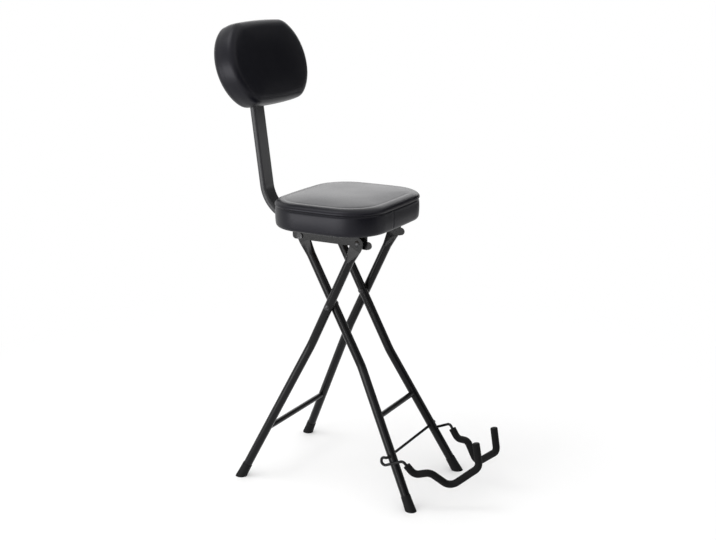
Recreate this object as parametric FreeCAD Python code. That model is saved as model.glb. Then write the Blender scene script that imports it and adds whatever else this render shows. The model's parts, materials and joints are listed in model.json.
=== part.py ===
import FreeCAD, Part
import math
import os

# Folding musician's stool. Two leg frames cross in an X on each side. The padded seat hinges on the tops
# of the outer frame and hooks over studs on the tops of the inner frame. A flat bent tube carries the
# backrest, and a bent wire cradle for an instrument turns in the inner frame's legs.
# Millimetres, +Z up, the sitter faces -Y, and the sitter's left is +X. The origin is on the floor under
# the middle of the object. Pieces of a pair are built on the left and mirrored.

V = FreeCAD.Vector
X_AXIS = V(1, 0, 0)
Y_AXIS = V(0, 1, 0)
Z_AXIS = V(0, 0, 1)
ORIGIN = V(0, 0, 0)

# Leg tubes
TUBE_D = 22.0
TUBE_WALL = 1.5
LEG_BEND_R = 120.0
TAB_WIDTH = 31.0
TAB_THICK = 5.0
TAB_REACH = 16.0
PINCH_LENGTH = 36.0

# The X: its pivot, and how far each frame leans from upright in the side view
PIVOT_Y = 44.34
PIVOT_Z = 467.6
FRAME_GAP = 1.6
OUTER_HALF = 97.5
OUTER_LEAN = -25.6
OUTER_BEND_Z = 362.0
OUTER_FOOT_HALF = 165.0
INNER_HALF = OUTER_HALF - TUBE_D - FRAME_GAP
INNER_LEAN = 27.8
INNER_BEND_Z = 319.0
INNER_FOOT_HALF = 134.6

# Crossbars between the legs of one frame
BAR_TUBE_D = 14.0
BAR_TUBE_WALL = 1.2
REAR_BAR_Z = 133.0
FRONT_BAR_Z = 206.5
WELD_GAP = 0.05

# Rubber feet
FOOT_FIT = 0.05
FOOT_LIP = 1.0
FOOT_WAIST = 1.3
FOOT_WAIST_Z = 22.0
FOOT_FLARE = 2.4
FOOT_LENGTH = 38.0
FOOT_SOLE = 14.0
FOOT_BELOW = 14.0

# Rivets and studs
RIVET_R = 4.0
RIVET_HEAD_R = 7.5
RIVET_HEAD_H = 3.2
FIXED_FIT = 0.02
RUNNING_FIT = 0.05
SIDE_CLEAR = 0.3
SEAT_CONTACT = 0.05
WASHER_R = 9.0
COLLAR_R = 7.0
STUD_FLANGE_R = 8.0
STUD_FLANGE_H = 2.6

# Seat cushion and board
SEAT_WIDTH = 346.0
SEAT_DEPTH = 296.0
SEAT_BOTTOM_Z = 661.0
SEAT_EDGE_H = 64.0
SEAT_CROWN = 9.0
SEAT_CORNER_R = 97.0
SEAT_SIDE_R = 2400.0
SEAT_ROLL_H = 20.0
SEAT_BASE_INSET = 5.0
SEAT_SEAM_INSET = 2.4
SEAT_EDGE_INSET = 5.0
SIDE_STEPS = 5
CROWN_SCALES = (1.0, 0.86, 0.68, 0.48, 0.28)
BOARD_INSET = 14.0
BOARD_THICK = 12.0
SOFT_CLEAR = 0.3

# Seat rails, sheet steel angles, with the hinge at the front and the catch at the rear below the seat
HINGE_DROP = 27.0
CATCH_DROP = 29.0
SHEET = 2.5
RAIL_DROP = 37.0
RAIL_FLANGE = 26.0
RAIL_REAR_REACH = 20.5
RAIL_FRONT_REACH = 20.0
RAIL_REAR_CORNER = 8.5
NOSE_R = 9.4
NOSE_DROP = 32.0
LUG_WIDTH = 13.0
LUG_DROP = 5.5
NOTCH_SLOPE = 35.0
RAIL_SCREWS = 3
RAIL_SCREW_END = 30.0

# Wood screws
SCREW_R = 2.4
SCREW_HEAD_R = 4.6
SCREW_HEAD_H = 2.6
SCREW_DEPTH = 9.0

# Flat tube that carries the backrest
BACK_BAR_WIDTH = 48.0
BACK_BAR_DEPTH = 15.0
BACK_BAR_CORNER = 6.0
BACK_BAR_WALL = 1.5
BACK_BAR_FRONT = -5.0
BACK_BAR_REACH = 226.5
BACK_BAR_BEND_R = 90.0
BACK_BAR_LEAN = 7.35
BACK_KINK_BELOW_PAD = 47.8
BACK_KINK_R = 150.0
BACK_TOP_LEAN = 17.3
BACK_TOP_LENGTH = 102.2
PLUG_LIP = 3.0
PLUG_DEPTH = 14.0

# Socket under the seat for that tube, with its clamp screw
SOCKET_FRONT = -20.0
SOCKET_REAR = 102.0
SOCKET_SIDE_CLEAR = 0.5
SOCKET_CLEAR = 0.3
SOCKET_FLANGE = 20.0
SOCKET_SCREW_END = 22.0
CLAMP_Y = 72.0
CLAMP_R = 4.0
NUT_R = 9.0
NUT_H = 8.0
KNOB_R = 18.0
KNOB_H = 15.0
KNOB_HUB_R = 9.0
KNOB_HUB_H = 5.0
KNOB_LOBES = 6
KNOB_SCALLOP_R = 7.0
KNOB_GAP = 0.6

# Backrest pad
PAD_WIDTH = 336.0
PAD_HEIGHT = 211.5
PAD_THICK = 72.0
PAD_RISE = 361.8
PAD_CORNER_R = 42.0
PAD_END_R = 112.5
PAD_TOP_R = 1765.0
PAD_CROWN = 7.0
PAD_RIM_INSET = 20.0
PAD_EDGE_INSET = 14.0
PAD_BELLY = 0.45
PANEL_INSET = 30.0
PANEL_THICK = 10.0
PANEL_GAP = 0.1
BACK_SCREW_R = 3.0
BACK_SCREW_HEAD_R = 5.5
BACK_SCREW_HEAD_H = 3.5
BACK_SCREW_SPACING = 60.0
BACK_SCREW_DEPTH = 8.0

# Instrument cradle: one wire, seen from the axle in the inner legs. Each point of the left arm gives its
# distance from the centre plane, then how far it lies in front of the axle and above it, and its bend.
WIRE_R = 3.5
AXLE_Z = 122.5
BARE_ARM = (
    (134.0, 0.0, 0.0, 7.0),
    (134.0, -15.7, 0.0, 8.0),
    (134.0, -15.7, -24.0, 9.0),
    (134.0, 42.0, 1.0, 9.0),
)
SLEEVED_ARM = (
    (125.0, 69.0, -31.5, 20.0),
    (110.0, 103.0, -24.5, 25.0),
    (80.0, 143.0, -64.5, 25.0),
    (54.0, 206.0, -10.5, 22.0),
    (55.0, 196.0, 50.0, 0.0),
)
SLEEVE_R = 9.0
SLEEVE_START = 14.0
SLEEVE_FIT = 0.1
SLEEVE_TIP = 7.0
SLEEVE_ROUND = 3.0


def export(name, *solids):
    """Writes one node, as a single solid or as a group of like solids."""
    shape = solids[0] if len(solids) == 1 else Part.makeCompound(list(solids))
    shape.exportStep("parts/" + name + ".step")
    print(name, len(shape.Solids), "solids", round(shape.Volume / 1000, 2), "cm3", "valid", shape.isValid())


def mirrored(shape):
    """The same piece on the sitter's right."""
    return shape.mirror(ORIGIN, X_AXIS)


def export_pair(name, left):
    """Writes a left piece and its mirror image as two nodes."""
    export(name + "_left", left)
    export(name + "_right", mirrored(left))


def x_rod(radius, x_from, x_to, centre):
    """Cylinder along X between two distances from the centre plane, about a point of the side view."""
    return Part.makeCylinder(radius, x_to - x_from, V(x_from, centre.y, centre.z), X_AXIS)


def x_ring(outer_r, inner_r, x_from, x_to, centre):
    """Washer or bush about an axis along X."""
    return x_rod(outer_r, x_from, x_to, centre).cut(x_rod(inner_r, x_from, x_to, centre))


def dome(radius, height, base, direction):
    """Domed head: a cap of a sphere on a flat base."""
    sphere_r = (radius * radius + height * height) / (2 * height)
    half_turn = math.asin(radius / sphere_r) / 2
    middle = V(sphere_r * math.sin(half_turn), 0, height - sphere_r + sphere_r * math.cos(half_turn))
    rim = Part.Arc(V(0, 0, height), middle, V(radius, 0, 0)).toShape()
    flat = Part.LineSegment(V(radius, 0, 0), ORIGIN).toShape()
    axis = Part.LineSegment(ORIGIN, V(0, 0, height)).toShape()
    cap = Part.Face(Part.Wire([rim, flat, axis])).revolve(ORIGIN, Z_AXIS, 360)
    cap.Placement = FreeCAD.Placement(base, FreeCAD.Rotation(Z_AXIS, direction))
    return cap


def x_rivet(x_from, x_to, centre):
    """Rivet along X whose domed heads start at the two given distances."""
    shank = x_rod(RIVET_R, x_from, x_to, centre)
    near = dome(RIVET_HEAD_R, RIVET_HEAD_H, V(x_from, centre.y, centre.z), V(-1, 0, 0))
    far = dome(RIVET_HEAD_R, RIVET_HEAD_H, V(x_to, centre.y, centre.z), X_AXIS)
    return shank.fuse([near, far]).removeSplitter()


def rounded_path(points, radii):
    """Straight runs through the points, joined at the inner points by tangent arcs of the given radii."""
    edges = []
    start = points[0]
    for before, corner, after, radius in zip(points, points[1:], points[2:], radii):
        back = (before - corner).normalize()
        onward = (after - corner).normalize()
        half = back.getAngle(onward) / 2
        reach = radius / math.tan(half)
        middle = corner + (back + onward).normalize() * (radius / math.sin(half) - radius)
        first = corner + back * reach
        last = corner + onward * reach
        edges.append(Part.LineSegment(start, first).toShape())
        edges.append(Part.Arc(first, middle, last).toShape())
        start = last
    edges.append(Part.LineSegment(start, points[-1]).toShape())
    return Part.Wire(edges)


def bent_rod(points, radii, radius):
    """Round rod along a rounded path."""
    path = rounded_path(points, radii)
    section = Part.Wire(Part.Circle(points[0], points[1] - points[0], radius).toShape())
    return path.makePipeShell([section], True, False)


def polygon(points):
    """Closed wire of straight edges."""
    return Part.makePolygon(list(points) + [points[0]])


def extruded(wire, direction):
    """Solid swept by a flat closed wire."""
    return Part.Face(wire).extrude(direction)


def outline(half_x, half_y, long_r, end_r, corner_r):
    """Rounded rectangle with bowed sides, in XY about the origin.

    The long sides (at +Y and -Y) and the ends (at +X and -X) are arcs of large radius. Each corner arc
    touches both: its centre lies on the crossing of the two circles about their centres whose radii are
    shorter by the corner's radius.
    """
    long_centre = V(0, half_y - long_r, 0)
    end_centre = V(half_x - end_r, 0, 0)
    long_reach = long_r - corner_r
    end_reach = end_r - corner_r
    between = end_centre - long_centre
    span = between.Length
    along = (long_reach ** 2 - end_reach ** 2 + span ** 2) / (2 * span)
    aside = math.sqrt(long_reach ** 2 - along ** 2)
    unit = V(between).normalize()
    corner = long_centre + unit * along + V(unit.y, -unit.x, 0) * aside
    long_touch = long_centre + (corner - long_centre).normalize() * long_r
    end_touch = end_centre + (corner - end_centre).normalize() * end_r
    spread = (long_touch - corner) + (end_touch - corner)
    corner_mid = corner + spread.normalize() * corner_r

    def placed(point, sign_x, sign_y):
        return V(point.x * sign_x, point.y * sign_y, 0)

    def arc(first, middle, last):
        return Part.Arc(first, middle, last).toShape()

    edges = []
    for sign_x, sign_y in ((1, 1), (-1, 1), (-1, -1), (1, -1)):
        first, last = (end_touch, long_touch) if sign_x == sign_y else (long_touch, end_touch)
        corner_edge = arc(*(placed(p, sign_x, sign_y) for p in (first, corner_mid, last)))
        edges.append(corner_edge)
        if sign_x == sign_y:
            side_mid = V(0, half_y * sign_y, 0)
            side_end = placed(long_touch, -sign_x, sign_y)
        else:
            side_mid = V(half_x * sign_x, 0, 0)
            side_end = placed(end_touch, sign_x, -sign_y)
        edges.append(arc(placed(last, sign_x, sign_y), side_mid, side_end))
    return Part.Wire(edges)


def seat_outline(inset, scale=1.0):
    """The seat's outline, drawn in evenly and then scaled about its middle."""
    half_x = (SEAT_WIDTH / 2 - inset) * scale
    half_y = (SEAT_DEPTH / 2 - inset) * scale
    side_r = (SEAT_SIDE_R - inset) * scale
    return outline(half_x, half_y, side_r, side_r, (SEAT_CORNER_R - inset) * scale)


def pad_outline(inset, scale=1.0):
    """The backrest's outline, drawn in evenly and then scaled about its middle."""
    half_x = (PAD_WIDTH / 2 - inset) * scale
    half_y = (PAD_HEIGHT / 2 - inset) * scale
    long_r = (PAD_TOP_R - inset) * scale
    end_r = (PAD_END_R - inset) * scale
    return outline(half_x, half_y, long_r, end_r, (PAD_CORNER_R - inset) * scale)


def bulge(start, end, swell):
    """Levels of a padded side between two seams, each a height and how far it is drawn in.

    The levels leave out the end, and halfway the side swells out from the straight line between them.
    """
    levels = []
    for step in range(SIDE_STEPS):
        part = step / SIDE_STEPS
        height = start[0] + (end[0] - start[0]) * part
        inset = start[1] + (end[1] - start[1]) * part
        levels.append((height, inset - swell * 4 * part * (1 - part), 1.0))
    return levels


def crown(edge, rise):
    """Levels of a padded face: a shallow dome that rises inside its edge seam."""
    return [(edge[0] + rise * (1 - scale * scale), edge[1], scale) for scale in CROWN_SCALES]


def cushion(shape_at, levels):
    """Loft through outlines, each given as its height, how far it is drawn in and its scale."""
    sections = []
    for height, inset, scale in levels:
        section = shape_at(inset, scale)
        section.translate(V(0, 0, height))
        sections.append(section)
    return Part.makeLoft(sections, True, True)


def leg_corners(half, lean, top_z, bend_z, foot_half):
    """Centre line of a left leg: its top pivot, its bend and the point where it meets the floor."""
    slope = math.tan(math.radians(lean))

    def at(x, z):
        return V(x, PIVOT_Y + (z - PIVOT_Z) * slope, z)

    return at(half, top_z), at(half, bend_z), at(foot_half, 0)


def pinched_top(top, up, round_end):
    """Tube end pressed flat: a ruled change from the round section to a flat tab with a round end."""
    across = V(0, up.z, -up.y)
    flat_end = top - up * TAB_REACH
    diagonal = TUBE_D / 2 * math.sqrt(0.5)
    signs = ((1, 1), (-1, 1), (-1, -1), (1, -1))
    crests = (X_AXIS, across * -1, X_AXIS * -1, across)
    round_corners = [round_end + across * (a * diagonal) + X_AXIS * (b * diagonal) for a, b in signs]
    flat_corners = [flat_end + across * (a * TAB_WIDTH / 2) + X_AXIS * (b * TAB_THICK / 2) for a, b in signs]
    arcs = []
    for start, crest, end in zip(round_corners, crests, round_corners[1:] + round_corners[:1]):
        arcs.append(Part.Arc(start, round_end + crest * (TUBE_D / 2), end).toShape())
    change = Part.makeLoft([Part.Wire(arcs), polygon(flat_corners)], True, True)
    tab = extruded(polygon(flat_corners), up * TAB_REACH)
    tab_end = x_rod(TAB_WIDTH / 2, top.x - TAB_THICK / 2, top.x + TAB_THICK / 2, top)
    return change, tab.fuse(tab_end)


def leg_tube(top, bend, foot):
    """Bent hollow tube, open at the foot and pinched flat at the top, with holes for its rivets."""
    up = (top - bend).normalize()
    down = (foot - bend).normalize()
    round_end = top - up * (TAB_REACH + PINCH_LENGTH)
    points = [foot - down * FOOT_SOLE, bend, round_end]
    tube = bent_rod(points, [LEG_BEND_R], TUBE_D / 2)
    hollow = bent_rod(points, [LEG_BEND_R], TUBE_D / 2 - TUBE_WALL)
    change, tab = pinched_top(top, up, round_end)
    return tube.cut(hollow).fuse([change, tab]).removeSplitter()


def through_x(fit_r, centre):
    """Drill along X through a left leg."""
    return x_rod(fit_r, 0, OUTER_FOOT_HALF + TUBE_D, centre)


def foot_cap(bend, foot):
    """Rubber cup on the tube's end, thin at its lip and widening in a hollow curve to the floor."""
    bore_r = TUBE_D / 2 + FOOT_FIT
    lip = V(bore_r + FOOT_LIP, 0, FOOT_LENGTH)
    waist = V(bore_r + FOOT_WAIST, 0, FOOT_WAIST_Z)
    flare = V(bore_r + FOOT_FLARE, 0, 0)
    curve = Part.Arc(lip, waist, flare).toShape()
    straight = [
        flare,
        V(flare.x, 0, -FOOT_BELOW),
        V(0, 0, -FOOT_BELOW),
        V(0, 0, FOOT_SOLE),
        V(bore_r, 0, FOOT_SOLE),
        V(bore_r, 0, FOOT_LENGTH),
        lip,
    ]
    profile = Part.Wire([curve] + Part.makePolygon(straight).Edges)
    cap = Part.Face(profile).revolve(ORIGIN, Z_AXIS, 360)
    cap.Placement = FreeCAD.Placement(foot, FreeCAD.Rotation(Z_AXIS, bend - foot))
    size = 4 * FOOT_LENGTH
    above_floor = Part.makeBox(size, size, size, V(foot.x - size / 2, foot.y - size / 2, 0))
    return cap.common(above_floor)


def on_leg(bend, foot, height):
    """Point of a leg's lower stretch at a height above the floor."""
    return bend + (foot - bend) * ((bend.z - height) / (bend.z - foot.z))


def crossbar(bend, foot, height):
    """Thin tube between two legs of a frame, coped to their round walls."""
    end = on_leg(bend, foot, height)
    tube = x_ring(BAR_TUBE_D / 2, BAR_TUBE_D / 2 - BAR_TUBE_WALL, -end.x, end.x, end)
    leg = Part.makeCylinder(TUBE_D / 2 + WELD_GAP, (foot - bend).Length, bend, foot - bend)
    return tube.cut([leg, mirrored(leg)])


def catch_stud(centre):
    """Shouldered stud: riveted through the inner leg's tab, it stands out through the rail's notch."""
    tab_in = centre.x - TAB_THICK / 2 - SEAT_CONTACT
    tab_out = centre.x + TAB_THICK / 2 + SEAT_CONTACT
    collar_end = RAIL_INNER - SIDE_CLEAR
    flange_start = RAIL_OUTER + SIDE_CLEAR
    head = dome(RIVET_HEAD_R, RIVET_HEAD_H, V(tab_in, centre.y, centre.z), V(-1, 0, 0))
    shank = x_rod(RIVET_R, tab_in, flange_start, centre)
    collar = x_rod(COLLAR_R, tab_out, collar_end, centre)
    flange = x_rod(STUD_FLANGE_R, flange_start, flange_start + STUD_FLANGE_H, centre)
    return shank.fuse([head, collar, flange]).removeSplitter()


def rail_notch(stud):
    """Cut that hooks over the stud: round at its top, upright at the rear, sloped open to the front."""
    notch_r = RIVET_R + SIDE_CLEAR
    slope = math.radians(NOTCH_SLOPE)
    touch = V(0, stud.y - notch_r * math.cos(slope), stud.z + notch_r * math.sin(slope))
    mouth_z = RAIL_BOTTOM - SHEET
    mouth_y = touch.y - (touch.z - mouth_z) * math.tan(slope)
    mouth = polygon([
        V(RAIL_INNER, stud.y, stud.z),
        V(RAIL_INNER, stud.y + notch_r, stud.z),
        V(RAIL_INNER, stud.y + notch_r, mouth_z),
        V(RAIL_INNER, mouth_y, mouth_z),
        V(RAIL_INNER, touch.y, touch.z),
    ])
    return extruded(mouth, X_AXIS * SHEET).fuse(x_rod(notch_r, RAIL_INNER, RAIL_OUTER, stud))


def rail_screw_places():
    """Screw centres along a rail's flange, evenly spaced."""
    first = HINGE.y - RAIL_FRONT_REACH + RAIL_SCREW_END
    last = CATCH.y + RAIL_REAR_REACH - RAIL_SCREW_END
    step = (last - first) / (RAIL_SCREWS - 1)
    x = RAIL_OUTER - RAIL_FLANGE / 2
    return [V(x, first + step * index, SEAT_BOTTOM_Z - SHEET) for index in range(RAIL_SCREWS)]


def seat_rail():
    """Angle under the seat's left side: hinge hole and nose at the front, hook at the rear."""
    front = HINGE.y - RAIL_FRONT_REACH
    rear = CATCH.y + RAIL_REAR_REACH
    top = SEAT_BOTTOM_Z
    corner = RAIL_REAR_CORNER
    arc_mid = corner * (1 - math.sqrt(0.5))
    lug_end = front + LUG_WIDTH
    lug_bottom = RAIL_BOTTOM - LUG_DROP

    def side(y, z):
        return V(RAIL_INNER, y, z)

    corners = [
        side(rear - corner, RAIL_BOTTOM),
        side(lug_end, RAIL_BOTTOM),
        side(lug_end, lug_bottom),
        side(front, lug_bottom),
        side(front, top),
        side(rear, top),
        side(rear, RAIL_BOTTOM + corner),
    ]
    edges = [Part.LineSegment(a, b).toShape() for a, b in zip(corners, corners[1:])]
    edges.append(Part.Arc(corners[-1], side(rear - arc_mid, RAIL_BOTTOM + arc_mid), corners[0]).toShape())
    web = extruded(Part.Wire(edges), X_AXIS * SHEET)
    nose = x_rod(NOSE_R, RAIL_INNER, RAIL_OUTER, V(0, front - NOSE_R / 4, top - NOSE_DROP))
    flange = Part.makeBox(RAIL_FLANGE, rear - front, SHEET, V(RAIL_OUTER - RAIL_FLANGE, front, top - SHEET))
    rail = web.fuse([nose, flange]).removeSplitter()
    holes = [x_rod(RIVET_R + RUNNING_FIT, RAIL_INNER, RAIL_OUTER, HINGE), rail_notch(CATCH)]
    for place in rail_screw_places():
        holes.append(Part.makeCylinder(SCREW_R + SEAT_CONTACT, SHEET, place, Z_AXIS))
    return rail.cut(holes)


def screw_up(place, grip):
    """Screw driven upwards through a sheet and into the board, its domed head below the sheet."""
    head = dome(SCREW_HEAD_R, SCREW_HEAD_H, place - Z_AXIS * SEAT_CONTACT, V(0, 0, -1))
    shank = Part.makeCylinder(SCREW_R, grip + SCREW_DEPTH, place - Z_AXIS * SEAT_CONTACT, Z_AXIS)
    return shank.fuse(head).removeSplitter()


def socket_screw_places():
    """Screw centres in the socket's two flanges, near its ends."""
    x = SOCKET_HALF + SHEET + SOCKET_FLANGE / 2
    rows = (PIVOT_Y + SOCKET_FRONT + SOCKET_SCREW_END, PIVOT_Y + SOCKET_REAR - SOCKET_SCREW_END)
    return [V(sign * x, y, SEAT_BOTTOM_Z - SHEET) for sign in (1, -1) for y in rows]


def back_socket():
    """Hat-shaped channel under the board that the back bar slides in, drilled for the clamp screw."""
    top = SEAT_BOTTOM_Z
    bottom = SOCKET_FLOOR_Z
    inner = SOCKET_HALF
    outer = SOCKET_HALF + SHEET
    brim = outer + SOCKET_FLANGE
    y = PIVOT_Y + SOCKET_FRONT
    hat = polygon([
        V(-brim, y, top),
        V(-inner, y, top),
        V(-inner, y, bottom),
        V(inner, y, bottom),
        V(inner, y, top),
        V(brim, y, top),
        V(brim, y, top - SHEET),
        V(outer, y, top - SHEET),
        V(outer, y, bottom - SHEET),
        V(-outer, y, bottom - SHEET),
        V(-outer, y, top - SHEET),
        V(-brim, y, top - SHEET),
    ])
    channel = extruded(hat, Y_AXIS * (SOCKET_REAR - SOCKET_FRONT))
    holes = [Part.makeCylinder(CLAMP_R + SIDE_CLEAR, SHEET, CLAMP - Z_AXIS * SHEET, Z_AXIS)]
    for place in socket_screw_places():
        holes.append(Part.makeCylinder(SCREW_R + SEAT_CONTACT, SHEET, place, Z_AXIS))
    return channel.cut(holes)


def clamp_nut():
    """Hexagonal weld nut under the socket."""
    base = CLAMP - Z_AXIS * (SHEET + NUT_H)
    turns = [math.radians(60 * index) for index in range(6)]
    rim = polygon([base + V(NUT_R * math.cos(turn), NUT_R * math.sin(turn), 0) for turn in turns])
    return extruded(rim, Z_AXIS * NUT_H).cut(Part.makeCylinder(CLAMP_R + RUNNING_FIT, NUT_H, base, Z_AXIS))


def clamp_knob():
    """Lobed hand knob on a screw that presses on the back bar from below."""
    hub_top = CLAMP - Z_AXIS * (SHEET + NUT_H + KNOB_GAP)
    grip_top = hub_top - Z_AXIS * KNOB_HUB_H
    grip_base = grip_top - Z_AXIS * KNOB_H
    grip = Part.makeCylinder(KNOB_R, KNOB_H, grip_base, Z_AXIS)
    scallops = []
    for index in range(KNOB_LOBES):
        turn = 2 * math.pi * index / KNOB_LOBES
        place = grip_base + V(math.cos(turn), math.sin(turn), 0) * (KNOB_R + KNOB_SCALLOP_R / 2)
        scallops.append(Part.makeCylinder(KNOB_SCALLOP_R, KNOB_H, place, Z_AXIS))
    hub = Part.makeCylinder(KNOB_HUB_R, KNOB_HUB_H, grip_top, Z_AXIS)
    screw_length = CLAMP.z - hub_top.z
    screw = Part.makeCylinder(CLAMP_R, screw_length, hub_top, Z_AXIS)
    return grip.cut(scallops).fuse([hub, screw]).removeSplitter()


def flat_section(width, depth, corner_r, start):
    """Rounded rectangle of the back bar, across its first run."""
    half_x = width / 2
    half_z = depth / 2
    flat_x = half_x - corner_r
    flat_z = half_z - corner_r
    bulge = corner_r * math.sqrt(0.5)
    edges = []
    quarters = ((1, 1), (-1, 1), (-1, -1), (1, -1))
    ends = []
    for sign_x, sign_z in quarters:
        by_side = start + V(sign_x * half_x, 0, sign_z * flat_z)
        by_face = start + V(sign_x * flat_x, 0, sign_z * half_z)
        middle = start + V(sign_x * (flat_x + bulge), 0, sign_z * (flat_z + bulge))
        first, last = (by_side, by_face) if sign_x == sign_z else (by_face, by_side)
        ends.append((first, middle, last))
    for (first, middle, last), following in zip(ends, ends[1:] + ends[:1]):
        edges.append(Part.Arc(first, middle, last).toShape())
        edges.append(Part.LineSegment(last, following[0]).toShape())
    return Part.Wire(edges)


def flat_bar(points, inset):
    """Solid along the back bar's path, with its section drawn in evenly."""
    path = rounded_path(points, [BACK_BAR_BEND_R, BACK_KINK_R])
    width = BACK_BAR_WIDTH - 2 * inset
    depth = BACK_BAR_DEPTH - 2 * inset
    section = flat_section(width, depth, BACK_BAR_CORNER - inset, points[0])
    return path.makePipeShell([section], True, False)


def back_bar_points():
    """Path of the back bar: under the seat, up behind it, and the part that lies on the pad's back."""
    z = SEAT_BOTTOM_Z - SOCKET_CLEAR - BACK_BAR_DEPTH / 2
    corner = V(0, PIVOT_Y + BACK_BAR_REACH, z)
    rise = SEAT_BOTTOM_Z + PAD_RISE - BACK_KINK_BELOW_PAD - z
    kink = corner + V(0, rise * math.tan(math.radians(BACK_BAR_LEAN)), rise)
    lean = math.radians(BACK_TOP_LEAN)
    end = kink + V(0, math.sin(lean), math.cos(lean)) * BACK_TOP_LENGTH
    return [V(0, PIVOT_Y + BACK_BAR_FRONT, z), corner, kink, end]


def bar_plug(end, outward):
    """Plastic plug in an end of the back bar, with a lip of the bar's own outline."""
    inset = BACK_BAR_WALL + SEAT_CONTACT
    lip_section = flat_section(BACK_BAR_WIDTH, BACK_BAR_DEPTH, BACK_BAR_CORNER, ORIGIN)
    stem_section = flat_section(BACK_BAR_WIDTH - 2 * inset, BACK_BAR_DEPTH - 2 * inset,
                                BACK_BAR_CORNER - inset, ORIGIN)
    lip = extruded(lip_section, Y_AXIS * PLUG_LIP)
    lip.translate(Y_AXIS * SEAT_CONTACT)
    stem = extruded(stem_section, Y_AXIS * (PLUG_DEPTH + SEAT_CONTACT))
    stem.translate(Y_AXIS * -PLUG_DEPTH)
    plug = lip.fuse(stem).removeSplitter()
    plug.Placement = FreeCAD.Placement(end, FreeCAD.Rotation(Y_AXIS, outward))
    return plug


def on_pad(shape):
    """Moves a shape from the pad's own frame (up along +Y, front along +Z) to the back bar's top."""
    kink, end = BAR_POINTS[2], BAR_POINTS[3]
    along = (end - kink).normalize()
    middle = kink + along * ((SEAT_BOTTOM_Z + PAD_RISE - kink.z) / along.z)
    forward = V(0, -along.z, along.y)
    base = middle + forward * (BACK_BAR_DEPTH / 2 + PANEL_GAP)
    placed = shape.copy()
    placed.Placement = FreeCAD.Placement(base, FreeCAD.Rotation(X_AXIS, 90 - BACK_TOP_LEAN))
    return placed


def back_screw_shapes(extra):
    """The two screws through the back bar into the panel, or with extra radius their holes."""
    screws = []
    head_z = -PANEL_GAP - BACK_BAR_DEPTH
    length = BACK_BAR_DEPTH + PANEL_GAP + BACK_SCREW_DEPTH + SEAT_CONTACT
    for y in (-BACK_SCREW_SPACING / 2, BACK_SCREW_SPACING / 2):
        base = V(0, y, head_z - SEAT_CONTACT)
        shank = Part.makeCylinder(BACK_SCREW_R + extra, length, base, Z_AXIS)
        if extra == 0:
            head = dome(BACK_SCREW_HEAD_R, BACK_SCREW_HEAD_H, base, V(0, 0, -1))
            shank = shank.fuse(head).removeSplitter()
        screws.append(on_pad(shank))
    return screws


def cradle_points():
    """Left arm of the cradle, from the axle outwards."""
    return [V(half, AXLE.y - ahead, AXLE.z + above) for half, ahead, above, bend in BARE_ARM + SLEEVED_ARM]


def cradle_wire(tip_cut):
    """The whole wire: right arm, axle through both legs, left arm, with its tips cut short."""
    left = cradle_points()
    left[-1] = left[-1] + (left[-2] - left[-1]).normalize() * tip_cut
    right = [V(-point.x, point.y, point.z) for point in reversed(left)]
    bends = [corner[3] for corner in BARE_ARM + SLEEVED_ARM[:-1]]
    return bent_rod(right + left, list(reversed(bends)) + bends, WIRE_R)


def cradle_sleeve():
    """Foam sleeve along the left arm, closed and rounded at its tip, bored for the wire."""
    points = cradle_points()
    before, first = points[len(BARE_ARM) - 1], points[len(BARE_ARM)]
    start = before + (first - before).normalize() * SLEEVE_START
    run = [start] + points[len(BARE_ARM):]
    bends = [corner[3] for corner in SLEEVED_ARM[:-1]]
    sleeve = bent_rod(run, bends, SLEEVE_R)
    tip_edges = [edge for edge in sleeve.Edges
                 if (edge.CenterOfMass - run[-1]).Length < SLEEVE_R / 2 and edge.Length > SLEEVE_R]
    sleeve = sleeve.makeFillet(SLEEVE_ROUND, tip_edges)
    bored = run[:-1] + [run[-1] + (run[-2] - run[-1]).normalize() * (SLEEVE_TIP - SLEEVE_FIT)]
    return sleeve.cut(bent_rod(bored, bends, WIRE_R + SLEEVE_FIT))


HINGE_Z = SEAT_BOTTOM_Z - HINGE_DROP
CATCH_Z = SEAT_BOTTOM_Z - CATCH_DROP
OUTER = leg_corners(OUTER_HALF, OUTER_LEAN, HINGE_Z, OUTER_BEND_Z, OUTER_FOOT_HALF)
INNER = leg_corners(INNER_HALF, INNER_LEAN, CATCH_Z, INNER_BEND_Z, INNER_FOOT_HALF)
HINGE = OUTER[0]
CATCH = INNER[0]
CROSS = V(0, PIVOT_Y, PIVOT_Z)
AXLE = on_leg(INNER[1], INNER[2], AXLE_Z)
RAIL_MIDDLE = (OUTER_HALF + INNER_HALF) / 2
RAIL_INNER = RAIL_MIDDLE - SHEET / 2
RAIL_OUTER = RAIL_MIDDLE + SHEET / 2
RAIL_BOTTOM = SEAT_BOTTOM_Z - RAIL_DROP
SEAT_CENTRE = V(0, PIVOT_Y, SEAT_BOTTOM_Z)
SOCKET_HALF = BACK_BAR_WIDTH / 2 + SOCKET_SIDE_CLEAR
SOCKET_FLOOR_Z = SEAT_BOTTOM_Z - BACK_BAR_DEPTH - 2 * SOCKET_CLEAR
CLAMP = V(0, PIVOT_Y + CLAMP_Y, SOCKET_FLOOR_Z)
BAR_POINTS = back_bar_points()

os.makedirs("parts", exist_ok=True)

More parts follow.
